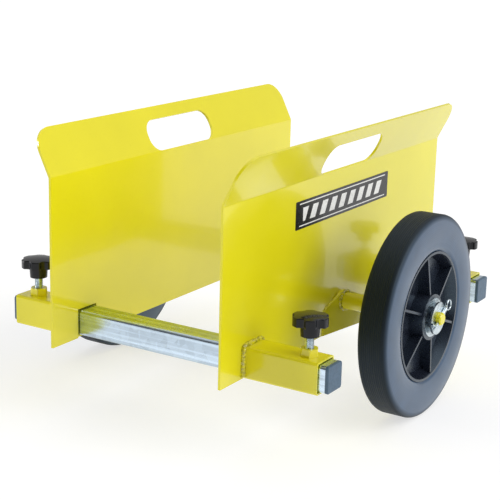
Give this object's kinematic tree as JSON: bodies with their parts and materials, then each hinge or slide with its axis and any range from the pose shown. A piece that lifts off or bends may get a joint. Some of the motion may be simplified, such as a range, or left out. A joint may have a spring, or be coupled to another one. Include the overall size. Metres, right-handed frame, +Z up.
{
  "type": "wheel dolly",
  "caption": "Two-wheeled panel dolly: facing flared side plates with hand slots slide on square cross tubes, are locked by star-knob screws and roll on solid tyres.",
  "frame": {"origin": "on the floor midway between the side plates, straight below the wheel axis", "axes": "+X across the dolly to the right-hand wheel, +Y along the plates to the rear end, +Z up"},
  "size_m": [0.526, 0.55, 0.3497],
  "materials": {
    "yellow_paint": "gloss yellow powder coat",
    "zinc": "bright galvanised tube with a fine spangle",
    "zinc_hardware": "bright zinc plating",
    "tyre_rubber": "smooth solid rubber",
    "rim_plastic": "satin black moulding",
    "bush_nylon": "black nylon",
    "knob_plastic": "gloss black moulding",
    "cap_plastic": "satin blue-black moulding",
    "label_black": "glossy vinyl"
  },
  "bodies": {
    "cross_tubes": {"cross_tube_front": "zinc", "cross_tube_rear": "zinc", "tube_cap_front_left": "cap_plastic", "tube_cap_rear_left": "cap_plastic", "tube_cap_front_right": "cap_plastic", "tube_cap_rear_right": "cap_plastic"},
    "side_left": {"side_plate_left": "yellow_paint", "axle_bracket_left": "yellow_paint", "axle_left": "yellow_paint", "axle_weld_left": "yellow_paint", "inner_washer_left": "zinc_hardware", "pin_washer_left": "zinc_hardware", "split_pin_left": "zinc_hardware", "sleeve_front_left": "yellow_paint", "sleeve_weld_front_left": "yellow_paint", "weld_nut_front_left": "yellow_paint", "sleeve_rear_left": "yellow_paint", "sleeve_weld_rear_left": "yellow_paint", "weld_nut_rear_left": "yellow_paint"},
    "wheel_left": {"tyre_left": "tyre_rubber", "rim_left": "rim_plastic", "wheel_bush_left": "bush_nylon", "hub_cover_left": "zinc_hardware"},
    "clamp_stud_front_left": {"clamp_stud_front_left": "zinc_hardware"},
    "star_knob_front_left": {"star_knob_front_left": "knob_plastic"},
    "clamp_stud_rear_left": {"clamp_stud_rear_left": "zinc_hardware"},
    "star_knob_rear_left": {"star_knob_rear_left": "knob_plastic"},
    "side_right": {"side_plate_right": "yellow_paint", "axle_bracket_right": "yellow_paint", "axle_right": "yellow_paint", "axle_weld_right": "yellow_paint", "inner_washer_right": "zinc_hardware", "pin_washer_right": "zinc_hardware", "split_pin_right": "zinc_hardware", "sleeve_front_right": "yellow_paint", "sleeve_weld_front_right": "yellow_paint", "weld_nut_front_right": "yellow_paint", "sleeve_rear_right": "yellow_paint", "sleeve_weld_rear_right": "yellow_paint", "weld_nut_rear_right": "yellow_paint", "side_label_right": "label_black"},
    "wheel_right": {"tyre_right": "tyre_rubber", "rim_right": "rim_plastic", "wheel_bush_right": "bush_nylon", "hub_cover_right": "zinc_hardware"},
    "clamp_stud_front_right": {"clamp_stud_front_right": "zinc_hardware"},
    "star_knob_front_right": {"star_knob_front_right": "knob_plastic"},
    "clamp_stud_rear_right": {"clamp_stud_rear_right": "zinc_hardware"},
    "star_knob_rear_right": {"star_knob_rear_right": "knob_plastic"}
  },
  "joints": [
    {"name": "width_left", "type": "slide", "parent": "cross_tubes", "child": "side_left", "axis": [-1, 0, 0], "range_m": [-0.09, 0.004]},
    {"name": "wheel_spin_left", "type": "hinge", "parent": "side_left", "child": "wheel_left", "pos_m": [-0.2286, 0, 0.126], "axis": [1, 0, 0], "continuous": true},
    {"name": "clamp_lift_front_left", "type": "slide", "parent": "side_left", "child": "clamp_stud_front_left", "axis": [0, 0, 1], "range_m": [0, 0.006]},
    {"name": "clamp_turn_front_left", "type": "hinge", "parent": "clamp_stud_front_left", "child": "star_knob_front_left", "pos_m": [-0.1955, -0.21, 0.16], "axis": [0, 0, 1], "range_deg": [0, 1440]},
    {"name": "clamp_lift_rear_left", "type": "slide", "parent": "side_left", "child": "clamp_stud_rear_left", "axis": [0, 0, 1], "range_m": [0, 0.006]},
    {"name": "clamp_turn_rear_left", "type": "hinge", "parent": "clamp_stud_rear_left", "child": "star_knob_rear_left", "pos_m": [-0.1955, 0.21, 0.16], "axis": [0, 0, 1], "range_deg": [0, 1440]},
    {"name": "width_right", "type": "slide", "parent": "cross_tubes", "child": "side_right", "axis": [1, 0, 0], "range_m": [-0.09, 0.008]},
    {"name": "wheel_spin_right", "type": "hinge", "parent": "side_right", "child": "wheel_right", "pos_m": [0.2286, 0, 0.126], "axis": [1, 0, 0], "continuous": true},
    {"name": "clamp_lift_front_right", "type": "slide", "parent": "side_right", "child": "clamp_stud_front_right", "axis": [0, 0, 1], "range_m": [0, 0.006]},
    {"name": "clamp_turn_front_right", "type": "hinge", "parent": "clamp_stud_front_right", "child": "star_knob_front_right", "pos_m": [0.1955, -0.21, 0.16], "axis": [0, 0, 1], "range_deg": [0, 1440]},
    {"name": "clamp_lift_rear_right", "type": "slide", "parent": "side_right", "child": "clamp_stud_rear_right", "axis": [0, 0, 1], "range_m": [0, 0.006]},
    {"name": "clamp_turn_rear_right", "type": "hinge", "parent": "clamp_stud_rear_right", "child": "star_knob_rear_right", "pos_m": [0.1955, 0.21, 0.16], "axis": [0, 0, 1], "range_deg": [0, 1440]}
  ],
  "couplings": [
    {"joint": "clamp_lift_front_left", "follows": "clamp_turn_front_left", "m_per_rad": 0.00023873},
    {"joint": "clamp_lift_rear_left", "follows": "clamp_turn_rear_left", "m_per_rad": 0.00023873},
    {"joint": "clamp_lift_front_right", "follows": "clamp_turn_front_right", "m_per_rad": 0.00023873},
    {"joint": "clamp_lift_rear_right", "follows": "clamp_turn_rear_right", "m_per_rad": 0.00023873}
  ]
}
